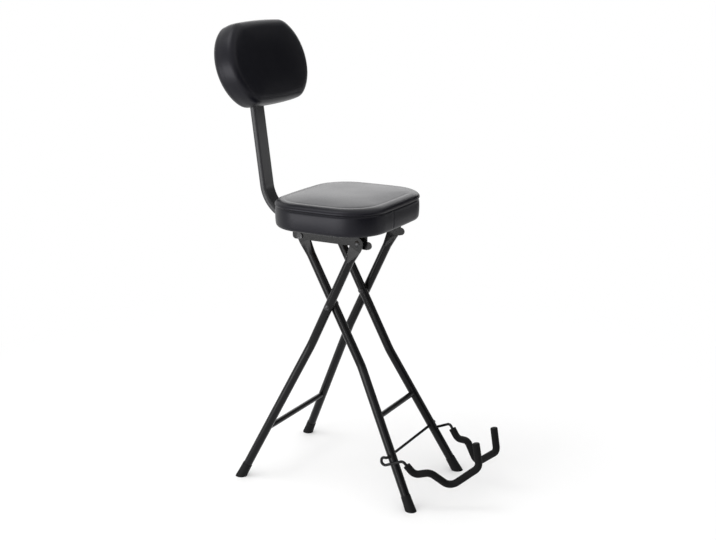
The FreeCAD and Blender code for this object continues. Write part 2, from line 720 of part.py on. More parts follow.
# Outer leg frame
outer_holes = [through_x(RIVET_R + FIXED_FIT, CROSS), through_x(RIVET_R + FIXED_FIT, HINGE)]
export_pair("outer_leg", leg_tube(*OUTER).cut(outer_holes))
export_pair("rear_foot", foot_cap(OUTER[1], OUTER[2]))
export("rear_crossbar", crossbar(OUTER[1], OUTER[2], REAR_BAR_Z))
tube_r = TUBE_D / 2
cross_rivet = x_rivet(INNER_HALF - tube_r - SIDE_CLEAR, OUTER_HALF + tube_r + SEAT_CONTACT, CROSS)
export("cross_rivets", cross_rivet, mirrored(cross_rivet))
washer_from = INNER_HALF + tube_r + SIDE_CLEAR
washer = x_ring(WASHER_R, RIVET_R + FIXED_FIT, washer_from, OUTER_HALF - tube_r - SEAT_CONTACT, CROSS)
export("cross_washers", washer, mirrored(washer))
tab_half = TAB_THICK / 2
hinge_rivet = x_rivet(RAIL_INNER - SIDE_CLEAR, OUTER_HALF + tab_half + SEAT_CONTACT, HINGE)
export("seat_hinge_rivets", hinge_rivet, mirrored(hinge_rivet))
bush_from = RAIL_OUTER + SIDE_CLEAR
bush = x_ring(COLLAR_R, RIVET_R + FIXED_FIT, bush_from, OUTER_HALF - tab_half - SEAT_CONTACT, HINGE)
export("seat_hinge_bushes", bush, mirrored(bush))

# Inner leg frame
inner_holes = [
    through_x(RIVET_R + RUNNING_FIT, CROSS),
    through_x(RIVET_R + FIXED_FIT, CATCH),
    through_x(WIRE_R + RUNNING_FIT, AXLE),
]
export_pair("inner_leg", leg_tube(*INNER).cut(inner_holes))
export_pair("front_foot", foot_cap(INNER[1], INNER[2]))
export("front_crossbar", crossbar(INNER[1], INNER[2], FRONT_BAR_Z))
stud = catch_stud(CATCH)
export("catch_studs", stud, mirrored(stud))

# Seat
export_pair("seat_rail", seat_rail())
left_screws = [screw_up(place, SHEET) for place in rail_screw_places()]
export("seat_rail_screws", *left_screws, *[mirrored(screw) for screw in left_screws])
board_wire = seat_outline(BOARD_INSET)
board_wire.translate(SEAT_CENTRE)
all_screw_places = rail_screw_places() + [V(-p.x, p.y, p.z) for p in rail_screw_places()]
all_screw_places += socket_screw_places()
pilot_length = SHEET + SCREW_DEPTH + SEAT_CONTACT
pilots = [Part.makeCylinder(SCREW_R + FIXED_FIT, pilot_length, place, Z_AXIS) for place in all_screw_places]
export("seat_board", extruded(board_wire, Z_AXIS * BOARD_THICK).cut(pilots))
seat_base = (0.0, SEAT_BASE_INSET)
seat_seam = (SEAT_EDGE_H - SEAT_ROLL_H, SEAT_SEAM_INSET)
seat_edge = (SEAT_EDGE_H, SEAT_EDGE_INSET)
lower_side = bulge(seat_base, seat_seam, SEAT_BASE_INSET / 2)
upper_roll = bulge(seat_seam, seat_edge, (SEAT_SEAM_INSET + SEAT_EDGE_INSET) / 2)
seat_pad = cushion(seat_outline, lower_side + upper_roll + crown(seat_edge, SEAT_CROWN))
pocket = extruded(seat_outline(BOARD_INSET - SOFT_CLEAR), Z_AXIS * (BOARD_THICK + SOFT_CLEAR))
seat_pad = seat_pad.cut(pocket)
seat_pad.translate(SEAT_CENTRE)
export("seat_cushion", seat_pad)

# Socket and clamp for the back bar
export("back_socket", back_socket())
export("back_socket_screws", *[screw_up(place, SHEET) for place in socket_screw_places()])
export("clamp_nut", clamp_nut())
export("clamp_knob", clamp_knob())

# Backrest
bar = flat_bar(BAR_POINTS, 0).cut(flat_bar(BAR_POINTS, BACK_BAR_WALL)).cut(back_screw_shapes(SEAT_CONTACT))
export("back_bar", bar)
front_plug = bar_plug(BAR_POINTS[0], BAR_POINTS[0] - BAR_POINTS[1])
top_plug = bar_plug(BAR_POINTS[3], BAR_POINTS[3] - BAR_POINTS[2])
export("back_bar_plugs", front_plug, top_plug)
panel = on_pad(extruded(pad_outline(PANEL_INSET), Z_AXIS * PANEL_THICK))
export("backrest_panel", panel.cut(back_screw_shapes(SEAT_CONTACT)))
export("backrest_screws", *back_screw_shapes(0))
pad_rim = (0.0, PAD_RIM_INSET)
pad_belly = (PAD_THICK * PAD_BELLY, 0.0)
pad_edge = (PAD_THICK - PAD_CROWN, PAD_EDGE_INSET)
rear_side = bulge(pad_rim, pad_belly, PAD_RIM_INSET / 4)
front_side = bulge(pad_belly, pad_edge, PAD_EDGE_INSET / 4)
back_pad = cushion(pad_outline, rear_side + front_side + crown(pad_edge, PAD_CROWN))
back_pocket = extruded(pad_outline(PANEL_INSET - SOFT_CLEAR), Z_AXIS * (PANEL_THICK + SOFT_CLEAR))
export("backrest_cushion", on_pad(back_pad.cut(back_pocket)))

# Instrument cradle
export("cradle_wire", cradle_wire(SLEEVE_TIP))
export_pair("cradle_sleeve", cradle_sleeve())
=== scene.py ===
"""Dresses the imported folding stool: padded seat and backrest, finishes, floor, light and camera."""

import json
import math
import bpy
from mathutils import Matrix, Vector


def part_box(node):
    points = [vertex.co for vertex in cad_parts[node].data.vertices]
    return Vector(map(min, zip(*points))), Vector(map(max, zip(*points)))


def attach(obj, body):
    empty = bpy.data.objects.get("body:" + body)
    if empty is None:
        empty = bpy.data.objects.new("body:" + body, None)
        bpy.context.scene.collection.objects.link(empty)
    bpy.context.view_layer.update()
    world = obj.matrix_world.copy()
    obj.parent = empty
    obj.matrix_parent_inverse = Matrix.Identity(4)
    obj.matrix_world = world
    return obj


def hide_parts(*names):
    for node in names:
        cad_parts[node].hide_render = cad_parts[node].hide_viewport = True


bl_info = {
    "name": "Folding stool looks",
    "version": (1, 0, 0),
    "blender": (4, 5, 0),
    "location": "3D View > Sidebar > Stool",
    "description": "Upholstery, finishes and a studio for a folding musician's stool",
    "category": "Object",
}

import bpy
import numpy as np
from mathutils import Vector

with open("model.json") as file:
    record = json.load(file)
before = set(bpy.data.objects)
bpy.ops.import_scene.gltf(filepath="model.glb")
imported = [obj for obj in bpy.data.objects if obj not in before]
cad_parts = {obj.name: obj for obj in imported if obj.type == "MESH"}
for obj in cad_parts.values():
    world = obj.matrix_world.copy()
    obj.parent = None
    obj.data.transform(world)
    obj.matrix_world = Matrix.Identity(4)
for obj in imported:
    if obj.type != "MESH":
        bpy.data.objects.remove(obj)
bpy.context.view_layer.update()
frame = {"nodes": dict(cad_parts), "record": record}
MM = 0.001

GRID_CELLS = 80
LIP_POWER = 18
CLOTH_FRAMES = 20
CLOTH_BENDING = 2.0
POCKET_EDGE = 0.5 * MM
POCKET_CORNER = 1 * MM

LAMPS = (
    # name, place, target, width, height, brightness
    ("top_light", (-0.7, 0.75, 2.7), (0, 0, 0.7), 1.3, 1.3, 2.6),
    ("side_light", (-2.3, 1.05, 0.55), (0, 0.3, 0.65), 2.1, 1.1, 4.6),
    ("edge_light", (-2.35, -0.2, 0.65), (0, 0, 0.7), 0.2, 1.2, 7.5),
    ("back_light", (2.7, 1.45, 1.55), (0, 0, 0.7), 2.6, 1.2, 1.65),
)
CARDS = (
    # name, place, target, width, height, grey
    ("front_card", (2.3, -1.22, 1.775), (0, 0, 1.775), 3.2, 1.65, 0.02),
    ("low_card", (2.3, -1.22, 0.25), (0, 0, 0.25), 3.2, 0.5, 0.05),
    ("near_card", (-0.6, -2.5, 0.9), (0, 0, 0.9), 3.4, 1.8, 0.08),
)
FLOOR_WHITE = (0.95, 0.95, 0.95, 1)
FADE_START = 0.3


def node_box(name):
    """Lowest and highest corner of a node, as arrays."""
    low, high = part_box(name)
    return np.array(low), np.array(high)


SEAT_LOW, SEAT_HIGH = node_box("seat_cushion")
PANEL_LOW, PANEL_HIGH = node_box("backrest_panel")


class SeatPadding(bpy.types.PropertyGroup):
    """Sizes of the seat's cushion that its box doesn't give."""

    corner: bpy.props.FloatProperty(
        name="Corner radius", description="Radius of the seat's corners from above",
        default=97 * MM, subtype="DISTANCE")
    bow: bpy.props.FloatProperty(
        name="Side radius", description="Radius of the bowed sides from above",
        default=2.4, subtype="DISTANCE")
    edge: bpy.props.FloatProperty(
        name="Edge height", description="Height of the top seam above the cushion's base",
        default=67 * MM, subtype="DISTANCE")
    roll: bpy.props.FloatProperty(
        name="Roll height", description="Height of the roll between the two seams",
        default=17 * MM, subtype="DISTANCE")
    shoulder: bpy.props.FloatProperty(
        name="Shoulder", description="How far the roll draws the top seam in from the side",
        default=24 * MM, subtype="DISTANCE")
    lap: bpy.props.FloatProperty(
        name="Lap", description="How far the cover laps under the seat to the board's edge",
        default=13.6 * MM, subtype="DISTANCE")
    pocket: bpy.props.FloatProperty(
        name="Pocket", description="Depth of the hollow for the board",
        default=12.4 * MM, subtype="DISTANCE")
    pressure: bpy.props.FloatProperty(
        name="Pressure", description="Push of the foam on the cover", default=4.0, min=0)
    evening: bpy.props.IntProperty(
        name="Evening", description="How often the foam evens out the cover's swell", default=14, min=0)
    swell: bpy.props.FloatProperty(
        name="Most swell", description="How far the foam may push the cover out",
        default=6 * MM, subtype="DISTANCE")
    join: bpy.props.FloatProperty(
        name="Side seam", description="Where the upright seam in the front side lies, from the middle to +X",
        default=-43 * MM, subtype="DISTANCE")
    join_depth: bpy.props.FloatProperty(
        name="Side seam's depth", description="How far the upright seam is drawn in",
        default=1.4 * MM, subtype="DISTANCE")


class BackPadding(bpy.types.PropertyGroup):
    """Sizes of the backrest's cushion that its box doesn't give."""

    width: bpy.props.FloatProperty(
        name="Width", description="Width of the pad", default=336 * MM, subtype="DISTANCE")
    height: bpy.props.FloatProperty(
        name="Height", description="Height of the pad along its lean",
        default=213.5 * MM, subtype="DISTANCE")
    thick: bpy.props.FloatProperty(
        name="Thickness", description="Thickness of the pad", default=72 * MM, subtype="DISTANCE")
    corner: bpy.props.FloatProperty(
        name="Corner radius", description="Radius of the pad's corners from the front",
        default=50 * MM, subtype="DISTANCE")
    tighten: bpy.props.FloatProperty(
        name="Tighten", description="How far in the corners start to tighten towards the panel's",
        default=20 * MM, subtype="DISTANCE")
    panel_corner: bpy.props.FloatProperty(
        name="Panel's corner radius", description="Radius of the corners of the hollow for the panel",
        default=12.4 * MM, subtype="DISTANCE")
    end_bow: bpy.props.FloatProperty(
        name="End radius", description="Radius of the bowed ends", default=112.5 * MM, subtype="DISTANCE")
    top_bow: bpy.props.FloatProperty(
        name="Top radius", description="Radius of the bowed top and bottom",
        default=1765 * MM, subtype="DISTANCE")
    lap: bpy.props.FloatProperty(
        name="Lap", description="How far the cover laps round the back to the panel's edge",
        default=29.6 * MM, subtype="DISTANCE")
    pocket: bpy.props.FloatProperty(
        name="Pocket", description="Depth of the hollow for the panel",
        default=10.4 * MM, subtype="DISTANCE")
    panel: bpy.props.FloatProperty(
        name="Panel", description="Thickness of the panel", default=10 * MM, subtype="DISTANCE")
    lean: bpy.props.FloatProperty(
        name="Lean", description="How far the pad leans back", default=math.radians(17.3), subtype="ANGLE")
    pressure: bpy.props.FloatProperty(
        name="Pressure", description="Push of the foam on the cover", default=4.0, min=0)
    evening: bpy.props.IntProperty(
        name="Evening", description="How often the foam evens out the cover's swell", default=30, min=0)
    swell: bpy.props.FloatProperty(
        name="Most swell", description="How far the foam may push the cover out",
        default=6 * MM, subtype="DISTANCE")


class Finishes(bpy.types.PropertyGroup):
    """Colours of the stool's materials."""

    steel: bpy.props.FloatVectorProperty(
        name="Powder coat", description="Colour of the coated steel",
        default=(0.004, 0.004, 0.0045), subtype="COLOR", min=0, max=1)
    bar: bpy.props.FloatVectorProperty(
        name="Back bar", description="Colour of the back bar's coat, greyer than the legs'",
        default=(0.034, 0.034, 0.036), subtype="COLOR", min=0, max=1)
    vinyl: bpy.props.FloatVectorProperty(
        name="Vinyl", description="Colour of the covers",
        default=(0.0022, 0.0022, 0.0045), subtype="COLOR", min=0, max=1)
    rubber: bpy.props.FloatVectorProperty(
        name="Rubber", description="Colour of the feet",
        default=(0.005, 0.005, 0.0053), subtype="COLOR", min=0, max=1)
    foam: bpy.props.FloatVectorProperty(
        name="Foam", description="Colour of the cradle's sleeves",
        default=(0.004, 0.004, 0.0042), subtype="COLOR", min=0, max=1)
    plastic: bpy.props.FloatVectorProperty(
        name="Plastic", description="Colour of the knob, plugs, bushes and back panel",
        default=(0.008, 0.008, 0.0085), subtype="COLOR", min=0, max=1)
    fastener: bpy.props.FloatVectorProperty(
        name="Fasteners", description="Colour of rivets, studs and screws",
        default=(0.03, 0.03, 0.031), subtype="COLOR", min=0, max=1)
    plywood: bpy.props.FloatVectorProperty(
        name="Plywood", description="Colour of the seat's board",
        default=(0.42, 0.3, 0.18), subtype="COLOR", min=0, max=1)


class Studio(bpy.types.PropertyGroup):
    """Camera, floor and light."""

    eye: bpy.props.FloatVectorProperty(
        name="Camera", description="Place of the camera",
        default=(-2.5004, -1.36616, 1.3073), subtype="TRANSLATION")
    target: bpy.props.FloatVectorProperty(
        name="Target", description="Point that the camera looks at",
        default=(0, 0.01714, 0.54025), subtype="TRANSLATION")
    lens: bpy.props.FloatProperty(
        name="Lens", description="Focal length on a 36 mm wide sensor", default=60.14, unit="CAMERA")
    floor: bpy.props.FloatProperty(
        name="Floor", description="Half the floor's width", default=30, subtype="DISTANCE")
    ambient: bpy.props.FloatProperty(
        name="Ambient", description="Light that comes from all round", default=0.88, min=0)
    veil: bpy.props.FloatProperty(
        name="Veil", description="How much of the floor's light and shadow a plain white hides at the feet",
        default=0.1, min=0, max=1)
    clearing: bpy.props.FloatProperty(
        name="Clearing", description="Distance from the stool at which the floor is plain white",
        default=1.6, subtype="DISTANCE")


class Wire:
    """A shader socket in an expression: arithmetic on it adds Math nodes."""

    def __init__(self, maker, socket):
        self.maker = maker
        self.socket = socket

    def __add__(self, other):
        return self.maker.math("ADD", self, other)

    def __sub__(self, other):
        return self.maker.math("SUBTRACT", self, other)

    def __rsub__(self, other):
        return self.maker.math("SUBTRACT", other, self)

    def __mul__(self, other):
        return self.maker.math("MULTIPLY", self, other)

    __radd__ = __add__
    __rmul__ = __mul__


class Maker:
    """Adds nodes to one tree."""

    def __init__(self, owner):
        owner.use_nodes = True
        self.tree = owner.node_tree
        self.tree.nodes.clear()

    def node(self, kind, settings=None, inputs=None, out=0):
        """One node: its settings first, then the values or links of its sockets. Gives one output."""
        made = self.tree.nodes.new(kind)
        for name, value in (settings or {}).items():
            if name == "stops":
                self.set_stops(made.color_ramp, value)
            else:
                setattr(made, name, value)
        for name, value in (inputs or {}).items():
            if isinstance(value, Wire):
                self.tree.links.new(value.socket, made.inputs[name])
            else:
                made.inputs[name].default_value = value
        return Wire(self, made.outputs[out]) if made.outputs else None

    def set_stops(self, ramp, stops):
        """Places a ramp's stops, given as pairs of a position and a grey."""
        while len(ramp.elements) < len(stops):
            ramp.elements.new(1.0)
        for element, (position, grey) in zip(ramp.elements, stops):
            element.position = position
            element.color = (grey, grey, grey, 1)

    def math(self, operation, first, second):
        return self.node("ShaderNodeMath", {"operation": operation}, {0: first, 1: second})

    def here(self):
        """Place on the object, in metres."""
        return self.node("ShaderNodeTexCoord", out="Object")

    def noise(self, where, scale, detail=2.0, rough=0.5):
        inputs = {"Vector": where, "Scale": scale, "Detail": detail, "Roughness": rough}
        return self.node("ShaderNodeTexNoise", None, inputs, "Fac")

    def cells(self, where, scale, feature="F1"):
        settings = {"feature": feature}
        return self.node("ShaderNodeTexVoronoi", settings, {"Vector": where, "Scale": scale}, "Distance")

    def shade(self, colour, factor):
        """A colour made lighter or darker by a factor that changes over the surface."""
        settings = {"data_type": "RGBA", "blend_type": "MULTIPLY"}
        grey = self.node("ShaderNodeCombineColor", None, {0: factor, 1: factor, 2: factor})
        return self.node("ShaderNodeMix", settings, {0: 1.0, 6: (*colour, 1), 7: grey}, 2)

    def mix(self, factor, first, second):
        """A blend from one colour to another."""
        settings = {"data_type": "RGBA"}
        return self.node("ShaderNodeMix", settings, {0: factor, 6: first, 7: second}, 2)

    def bump(self, height, strength, depth, below=None):
        inputs = {"Height": height, "Strength": strength, "Distance": depth}
        if below is not None:
            inputs["Normal"] = below
        return self.node("ShaderNodeBump", None, inputs)

    def surface(self, **sockets):
        """Closes the tree with a Principled shader."""
        inputs = {name.replace("_", " "): value for name, value in sockets.items()}
        shader = self.node("ShaderNodeBsdfPrincipled", None, inputs)
        self.node("ShaderNodeOutputMaterial", None, {"Surface": shader})


def powder_coat(m, here, colour):
    """Satin black coat: fine orange peel, and a sheen that varies slowly along the tubes."""
    drift = m.noise(here, 9.0, 3.0)
    peel = m.noise(here, 750.0, 2.0)
    specks = m.noise(here, 2600.0, 1.0)
    normal = m.bump(peel, 0.1, 0.0004)
    normal = m.bump(specks, 0.05, 0.0002, normal)
    m.surface(Base_Color=m.shade(colour, 0.8 + 0.4 * drift), Roughness=0.1 + 0.16 * drift + 0.04 * peel,
              Normal=normal, Specular_IOR_Level=0.18)


def grained_vinyl(m, here, colour):
    """Soft vinyl: a leather grain of small cells with finer creases in them, and a slow drift of sheen."""
    warp = m.node("ShaderNodeTexNoise", None, {"Vector": here, "Scale": 160.0, "Detail": 2.0}, "Color")
    moved = m.node("ShaderNodeVectorMath", {"operation": "SCALE"}, {0: warp, "Scale": 0.004})
    there = m.node("ShaderNodeVectorMath", {"operation": "ADD"}, {0: here, 1: moved})
    pebbles = m.cells(there, 520.0, "SMOOTH_F1")
    creases = m.noise(here, 900.0, 4.0, 0.6)
    drift = m.noise(here, 7.0, 3.0)
    normal = m.bump(1 - pebbles, 0.12, 0.0004)
    normal = m.bump(creases, 0.08, 0.0003, normal)
    m.surface(Base_Color=m.shade(colour, 0.8 + 0.4 * drift), Roughness=0.3 + 0.1 * drift + 0.08 * pebbles,
              Normal=normal, Specular_IOR_Level=0.24, Specular_Tint=(0.95, 0.94, 1, 1))


def moulded_rubber(m, here, colour):
    """Matte rubber with a dusty, fine grain."""
    dust = m.noise(here, 60.0, 4.0)
    grain = m.noise(here, 1800.0, 2.0)
    m.surface(Base_Color=m.shade(colour, 0.75 + 0.5 * dust), Roughness=0.5 + 0.2 * dust,
              Normal=m.bump(grain, 0.3, 0.0002), Specular_IOR_Level=0.12)


def sleeve_foam(m, here, colour):
    """Foam rubber: small open pores on a matte skin, with painted shade that darkens each pore's pit."""
    pores = m.cells(here, 1300.0)
    lumps = m.noise(here, 120.0, 3.0)
    normal = m.bump(pores, 0.5, 0.0005)
    normal = m.bump(lumps, 0.15, 0.001, normal)
    # The base colour is darkest in the pits of the pores: painted shade in the pores, not the foam's own
    # colour.
    m.surface(Base_Color=m.shade(colour, 0.6 + 0.8 * pores), Roughness=0.55 + 0.15 * lumps,
              Normal=normal, Specular_IOR_Level=0.1)


def moulded_plastic(m, here, colour):
    """Moulded black plastic with a spark-eroded texture."""
    texture = m.noise(here, 1400.0, 3.0)
    drift = m.noise(here, 20.0, 2.0)
    m.surface(Base_Color=m.shade(colour, 0.85 + 0.3 * drift), Roughness=0.42 + 0.12 * texture,
              Normal=m.bump(texture, 0.25, 0.0002), Specular_IOR_Level=0.25)


def blackened_steel(m, here, colour):
    """Rivets and screws: blackened, a little rubbed to bare metal."""
    rub = m.noise(here, 240.0, 4.0)
    bare = m.node("ShaderNodeValToRGB", {"stops": [(0.55, 0.0), (0.75, 1.0)]}, {"Fac": rub})
    m.surface(Base_Color=m.mix(bare, (*colour, 1), (0.12, 0.12, 0.125, 1)), Roughness=0.28 + 0.2 * rub,
              Metallic=0.7, Normal=m.bump(rub, 0.1, 0.0002))


def bare_plywood(m, here, colour):
    """Bare plywood: a long grain on the faces, and dark and light plies through the thickness."""
    stretched = m.node("ShaderNodeMapping", None, {"Vector": here, "Scale": (20.0, 1.5, 20.0)})
    grain = m.noise(stretched, 3.0, 5.0, 0.65)
    plies = m.node("ShaderNodeTexWave", {"bands_direction": "Z"}, {"Vector": here, "Scale": 70.0}, "Fac")
    m.surface(Base_Color=m.shade(colour, 0.3 + 1.1 * grain + 0.15 * plies), Roughness=0.7,
              Normal=m.bump(grain, 0.3, 0.0004))


FINISH_OF_SLOT = {
    "black_steel": (powder_coat, "steel"),
    "dark_fastener": (blackened_steel, "fastener"),
    "washer_plastic": (moulded_plastic, "plastic"),
    "foot_rubber": (moulded_rubber, "rubber"),
    "plywood": (bare_plywood, "plywood"),
    "black_vinyl": (grained_vinyl, "vinyl"),
    "knob_plastic": (moulded_plastic, "plastic"),
    "sleeve_foam": (sleeve_foam, "foam"),
}
FINISH_OF_NODE = {"back_bar": (powder_coat, "bar")}


def finish_of(slot, node=None):
    """The material of a node or else of its slot, made once and named after its colour's setting."""
    make, colour = FINISH_OF_NODE.get(node, FINISH_OF_SLOT[slot])
    name = colour + "_finish"
    material = bpy.data.materials.get(name)
    if material is None:
        material = bpy.data.materials.new(name)
        m = Maker(material)
        make(m, m.here(), tuple(getattr(bpy.context.scene.stool_finishes, colour)))
    return material


def mesh_piece(name, points, faces, slot, body):
    """A piece from its points and faces, with its finish, riding on a body."""
    mesh = bpy.data.meshes.new(name)
    mesh.from_pydata(points.tolist(), [], faces.tolist())
    mesh.update()
    mesh.polygons.foreach_set("use_smooth", np.ones(len(mesh.polygons), bool))
    piece = bpy.data.objects.new(name, mesh)
    bpy.context.scene.collection.objects.link(piece)
    mesh.materials.append(finish_of(slot))
    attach(piece, body)
    return piece


def outline_points(half_x, half_y, long_r, end_r, corner_r, turn):
    """Points of a rounded rectangle with bowed sides, for turns from 0 to 1 around it.

    The sides are arcs of large radius, and each corner is an arc that touches two of them. A turn is
    spread over the arcs so that a corner gets as large a share as its place in a square: the side at +X
    runs from -1/8 to 1/8, and the corners lie at odd eighths.
    """
    long_centre = np.array([0, half_y - long_r])
    end_centre = np.array([half_x - end_r, 0])
    long_reach, end_reach = long_r - corner_r, end_r - corner_r
    between = end_centre - long_centre
    span = np.linalg.norm(between)
    along = (long_reach ** 2 - end_reach ** 2 + span ** 2) / (2 * span)
    aside = math.sqrt(long_reach ** 2 - along ** 2)
    unit = between / span
    corner = long_centre + unit * along + np.array([unit[1], -unit[0]]) * aside
    end_angle = math.atan2(*(corner - end_centre)[::-1])
    long_angle = math.atan2(*(corner - long_centre)[::-1])
    end_length = end_r * end_angle
    corner_length = corner_r * (long_angle - end_angle)
    long_length = long_r * (math.pi / 2 - long_angle)
    total = end_length + corner_length + long_length

    fold = np.abs(((turn + 0.25) % 0.5) - 0.25) * 4
    way = fold * total
    on_end = way < end_length
    on_corner = way < end_length + corner_length
    angle = np.where(
        on_end, way / end_r,
        np.where(on_corner, end_angle + (way - end_length) / corner_r,
                 long_angle + (way - end_length - corner_length) / long_r))
    radius = np.where(on_end, end_r, np.where(on_corner, corner_r, long_r))
    centre_x = np.where(on_end, end_centre[0], np.where(on_corner, corner[0], long_centre[0]))
    centre_y = np.where(on_end, end_centre[1], np.where(on_corner, corner[1], long_centre[1]))
    sign_x = np.where((turn % 1 < 0.25) | (turn % 1 > 0.75), 1, -1)
    sign_y = np.where(turn % 1 < 0.5, 1, -1)
    x = (centre_x + radius * np.cos(angle)) * sign_x
    y = (centre_y + radius * np.sin(angle)) * sign_y
    return np.stack([x, y], -1)


def square_turns(count):
    """A square grid from -1 to 1: how far out each point lies, and its turn around the square."""
    line = np.linspace(-1, 1, count + 1)
    across, up = np.meshgrid(line, line, indexing="ij")
    out = np.maximum(np.abs(across), np.abs(up))
    safe = np.where(out > 0, out, 1)
    a, b = across / safe, up / safe
    turn = np.select(
        [(a >= 1) & (b > -1), b >= 1, a <= -1],
        [b / 8, 0.25 - a / 8, 0.5 - b / 8],
        0.75 + a / 8)
    return out, turn % 1


def pillow_mesh(outline, profile, count, crown, lip):
    """Closed cushion: a square grid for its base and for its face, and rings of points for its sides.

    outline(turn, inset) gives the points of a level, and profile lists the levels from the base's edge to
    the face's edge, each as a height and how far it is drawn in. Inside an edge the outline shrinks evenly
    to the middle, and the face rises there by the crown times one minus the square of its share. The lip is
    a part of that rise which comes in close to the edge, as one minus a high power of the share.
    Gives the points, the faces, and for each point the number of its level: the face's edge is on the last
    level of the profile, and the points inside that edge have the number after it.
    """
    out, turn = square_turns(count)
    share = out.ravel()[:, None]
    ring_size = 4 * count
    ring_turn = np.arange(ring_size) / ring_size - 0.125

    def sheet(level, rise, quick_rise):
        flat = outline(turn.ravel(), level[1]) * share
        height = (rise - quick_rise) * (1 - share ** 2) + quick_rise * (1 - share ** LIP_POWER)
        return np.column_stack([flat, level[0] + height])

    def ring(level):
        return np.column_stack([outline(ring_turn, level[1]), np.full(ring_size, level[0])])

    base, face = sheet(profile[0], 0, 0), sheet(profile[-1], crown, lip)
    points = np.concatenate([base, face] + [ring(level) for level in profile[1:-1]])
    last = len(profile) - 1
    face_levels = np.where(out.ravel() > 1 - 0.5 / count, last, last + 1)
    ring_levels = np.repeat(np.arange(1, last), ring_size)
    levels = np.concatenate([np.zeros(len(base), int), face_levels, ring_levels])

    index = np.arange(len(base)).reshape(count + 1, count + 1)
    quads = np.stack([index[:-1, :-1], index[1:, :-1], index[1:, 1:], index[:-1, 1:]], -1).reshape(-1, 4)
    edge = np.concatenate([index[-1, :-1], index[:0:-1, -1], index[0, :0:-1], index[:-1, 0]])
    rings = [edge]
    for step in range(last - 1):
        rings.append(2 * len(base) + step * ring_size + np.arange(ring_size))
    rings.append(edge + len(base))
    bands = [np.stack([low, np.roll(low, -1), np.roll(high, -1), high], -1)
             for low, high in zip(rings, rings[1:])]
    faces = np.concatenate([quads[:, ::-1], quads + len(base)] + bands)
    return points, faces, levels


def side_levels(start, end, steps, swell=0.0):
    """Levels of a side from one height and inset to another, swelling out halfway. Leaves out the end."""
    share = np.arange(steps) / steps
    height = start[0] + (end[0] - start[0]) * share
    inset = start[1] + (end[1] - start[1]) * share - swell * 4 * share * (1 - share)
    return list(zip(height, inset))


def arc_levels(centre, radius, start, end, steps):
    """Levels on an arc about a height and inset: 0 degrees is the outermost, and 90 the highest point."""
    angle = np.radians(np.linspace(start, end, steps + 1))
    return list(zip(centre[0] + radius * np.sin(angle), centre[1] - radius * np.cos(angle)))


def evened(move, edges, held, passes):
    """Spreads a cover's swell as the foam under it does: each point goes halfway to its neighbours' mean."""
    count = np.bincount(edges.ravel(), minlength=len(move))[:, None]
    first, second = edges.T
    for _ in range(passes):
        total = np.zeros_like(move)
        np.add.at(total, first, move[second])
        np.add.at(total, second, move[first])
        move = np.where(held[:, None], move, (move + total / count) / 2)
    return move


def inflate(piece, held, limit, pressure, passes):
    """Fills a cover with foam: cloth under pressure, held where it is sewn or fixed.

    The swell is evened out over some passes, so that short folds don't stay, and then capped.
    """
    mesh = piece.data
    rest = np.empty(len(mesh.vertices) * 3)
    mesh.vertices.foreach_get("co", rest)
    group = piece.vertex_groups.new(name="sewn")
    group.add(np.flatnonzero(held).tolist(), 1.0, "REPLACE")
    cloth = piece.modifiers.new("cover", "CLOTH")
    cloth.collision_settings.use_collision = False
    settings = cloth.settings
    settings.vertex_group_mass = group.name
    settings.use_pressure = True
    settings.uniform_pressure_force = pressure
    settings.bending_stiffness = CLOTH_BENDING
    settings.effector_weights.gravity = 0.0
    scene = bpy.context.scene
    for step in range(1, CLOTH_FRAMES + 1):
        scene.frame_set(step)
    evaluated = piece.evaluated_get(bpy.context.evaluated_depsgraph_get())
    swollen = np.empty_like(rest)
    evaluated.data.vertices.foreach_get("co", swollen)
    piece.modifiers.remove(cloth)
    scene.frame_set(1)
    edges = np.empty(len(mesh.edges) * 2, int)
    mesh.edges.foreach_get("vertices", edges)
    move = evened((swollen - rest).reshape(-1, 3), edges.reshape(-1, 2), held, passes)
    length = np.linalg.norm(move, axis=1, keepdims=True)
    capped = move * (limit * np.tanh(length / limit) / np.maximum(length, 1e-9))
    mesh.vertices.foreach_set("co", (rest.reshape(-1, 3) + capped).ravel())
    piece.vertex_groups.clear()
    mesh.update()
    smooth = piece.modifiers.new("smooth", "SUBSURF")
    smooth.levels = smooth.render_levels = 1


def seat_profile(seat):
    """Levels of the seat's cover from the pocket for the board to the top seam.

    They go round the bottom edge, an arc, up the side, into the crease of the lower seam and out of it, and
    over the roll, a quarter of an ellipse. Also gives the count of fixed levels and the lower seam's level.
    """
    seam, edge = seat.edge - seat.roll, seat.edge
    bottom_r = 9 * MM
    side, bulge = 1.8 * MM, 1 * MM
    crease, crease_lip, crease_floor = 1.6 * MM, 2.2 * MM, 4.6 * MM
    belly, belly_inset, dip = seam + 5 * MM, 0.2 * MM, 0.6 * MM
    profile = [(seat.pocket, seat.lap), (POCKET_EDGE, seat.lap), (0, seat.lap - POCKET_CORNER)]
    profile += arc_levels((bottom_r, bottom_r + 2 * MM), bottom_r, -80, -10, 4)
    fixed = len(profile) - 1
    profile += side_levels((bottom_r + 1 * MM, side), (seam - crease, side), 10, bulge)
    profile += [(seam - crease, crease_lip)]
    seam_level = len(profile)
    profile += [(seam, crease_floor), (seam + crease, crease_lip)]
    profile += [(seam + 2.8 * MM, 0.9 * MM), (seam + 3.8 * MM, 0.4 * MM)]
    angle = np.radians(np.linspace(0, 84, 11))
    profile += list(zip(belly + (edge - belly) * np.sin(angle),
                        belly_inset + seat.shoulder * (1 - np.cos(angle))))
    profile += [(edge - dip, seat.shoulder)]
    return profile, fixed, seam_level


def side_seam(points, side, place):
    """Points of the front side's column that lies nearest to a place across the seat."""
    front = np.flatnonzero((points[:, 1] < 0) & side)
    nearest = front[np.argmin(np.abs(points[front, 0] - place))]
    same_column = 1 * MM
    return front[np.abs(points[front, 0] - points[nearest, 0]) < same_column]


